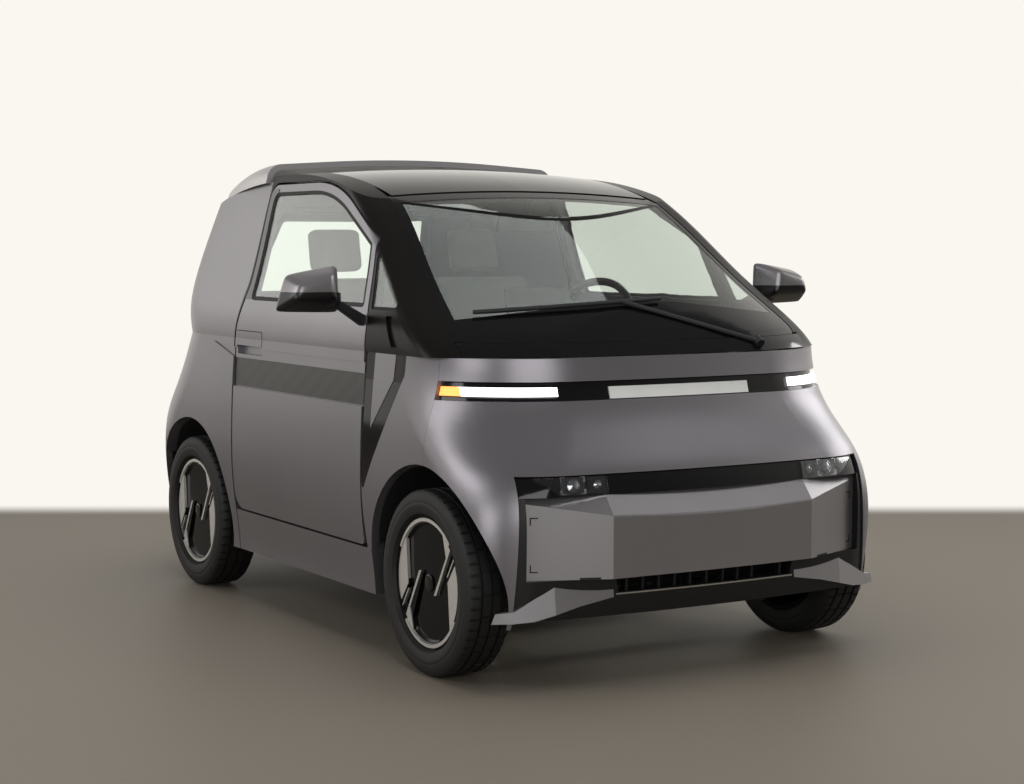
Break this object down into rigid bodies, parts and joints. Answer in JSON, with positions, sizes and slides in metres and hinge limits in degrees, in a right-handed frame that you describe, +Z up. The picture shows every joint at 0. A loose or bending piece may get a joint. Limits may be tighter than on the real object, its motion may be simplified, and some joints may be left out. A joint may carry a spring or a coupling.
{
  "type": "two-seat electric microcar",
  "caption": "Closed two-seat microcar with hollow cabin, side doors, rear hatch, steered front wheels and free-turning wheels.",
  "frame": {"origin": "On the ground under the middle of the car's length and width.", "axes": "The car faces -Y, +X is its left side and +Z is up."},
  "size_m": [2.02, 2.8883, 1.5844],
  "materials": {
    "body_paint": "satin metallic",
    "trim_paint": "satin metallic",
    "black_panel": "gloss",
    "black_plastic": "matte",
    "glass": "polished",
    "lamp_lens": "polished",
    "tyre": "matte",
    "rim_alloy": "gloss black",
    "chassis_iron": "matte",
    "floor_alloy": "matte",
    "battery_case": "matte",
    "cabin_plastic": "matte",
    "seat_cloth": "matte"
  },
  "bodies": {
    "root": {"nose_panel": "body_paint", "bonnet_lip": "body_paint", "fender_left": "body_paint", "fender_right": "body_paint", "quarter_left": "body_paint", "quarter_right": "body_paint", "sills": "body_paint", "roof_hoop": "trim_paint", "bumper_block": "trim_paint", "winglets": "trim_paint", "rear_bumper": "trim_paint", "side_frame_left": "black_panel", "side_frame_right": "black_panel", "roof_panel": "black_panel", "cowl_panel": "black_panel", "light_bar": "black_panel", "lamp_band": "black_panel", "side_blade_left": "black_panel", "side_blade_right": "black_panel", "front_valance": "black_plastic", "wheel_liners": "black_plastic", "windscreen": "glass", "quarter_lights": "glass", "headlamps": "lamp_lens", "daytime_lamps": "lamp_lens", "rear_axle": "chassis_iron", "front_suspension": "chassis_iron", "floor_tub": "floor_alloy", "luggage_tub": "floor_alloy", "front_rails": "floor_alloy", "seat_frames": "floor_alloy", "battery_pack": "battery_case", "dashboard": "cabin_plastic", "wiper": "cabin_plastic", "seat_pad_left": "seat_cloth", "seat_pad_right": "seat_cloth"},
    "door_left": {"door_left": "body_paint", "door_glass_left": "glass", "mirror_left": "trim_paint"},
    "door_right": {"door_right": "body_paint", "door_glass_right": "glass", "mirror_right": "trim_paint"},
    "hatch": {"hatch": "body_paint", "hatch_glass": "glass", "tail_lamp": "lamp_lens"},
    "steering_wheel": {"steering_wheel": "cabin_plastic"},
    "knuckle_left": {"knuckle_left": "chassis_iron"},
    "knuckle_right": {"knuckle_right": "chassis_iron"},
    "wheel_front_left": {"tyre_front_left": "tyre", "rim_front_left": "rim_alloy"},
    "wheel_front_right": {"tyre_front_right": "tyre", "rim_front_right": "rim_alloy"},
    "wheel_rear_left": {"tyre_rear_left": "tyre", "rim_rear_left": "rim_alloy"},
    "wheel_rear_right": {"tyre_rear_right": "tyre", "rim_rear_right": "rim_alloy"}
  },
  "joints": [
    {"name": "door_left_hinge", "type": "hinge", "parent": "root", "child": "door_left", "pos_m": [0.72, -0.572, 0.6], "axis": [0, 0, -1], "range_deg": [0, 65]},
    {"name": "door_right_hinge", "type": "hinge", "parent": "root", "child": "door_right", "pos_m": [-0.72, -0.572, 0.6], "axis": [0, 0, 1], "range_deg": [0, 65]},
    {"name": "hatch_hinge", "type": "hinge", "parent": "root", "child": "hatch", "pos_m": [0, 0.882, 1.446], "axis": [1, 0, 0], "range_deg": [0, 75]},
    {"name": "steer_right", "type": "hinge", "parent": "root", "child": "knuckle_right", "pos_m": [-0.548, -0.98, 0.2785], "axis": [0, 0, 1], "range_deg": [-32, 32]},
    {"name": "steer_left", "type": "hinge", "parent": "root", "child": "knuckle_left", "pos_m": [0.548, -0.98, 0.2785], "axis": [0, 0, 1], "range_deg": [-32, 32]},
    {"name": "steering_column", "type": "hinge", "parent": "root", "child": "steering_wheel", "pos_m": [0.29, -0.44, 0.915], "axis": [0, -0.9062, -0.4229], "range_deg": [-480, 480]},
    {"name": "spin_front_left", "type": "hinge", "parent": "knuckle_left", "child": "wheel_front_left", "pos_m": [0.66, -0.98, 0.2785], "axis": [1, 0, 0], "continuous": true},
    {"name": "spin_front_right", "type": "hinge", "parent": "knuckle_right", "child": "wheel_front_right", "pos_m": [-0.66, -0.98, 0.2785], "axis": [1, 0, 0], "continuous": true},
    {"name": "spin_rear_left", "type": "hinge", "parent": "root", "child": "wheel_rear_left", "pos_m": [0.66, 0.85, 0.2785], "axis": [1, 0, 0], "continuous": true},
    {"name": "spin_rear_right", "type": "hinge", "parent": "root", "child": "wheel_rear_right", "pos_m": [-0.66, 0.85, 0.2785], "axis": [1, 0, 0], "continuous": true}
  ],
  "couplings": [
    {"joint": "steer_left", "follows": "steer_right", "ratio": 1},
    {"joint": "steering_column", "follows": "steer_right", "ratio": -15}
  ]
}
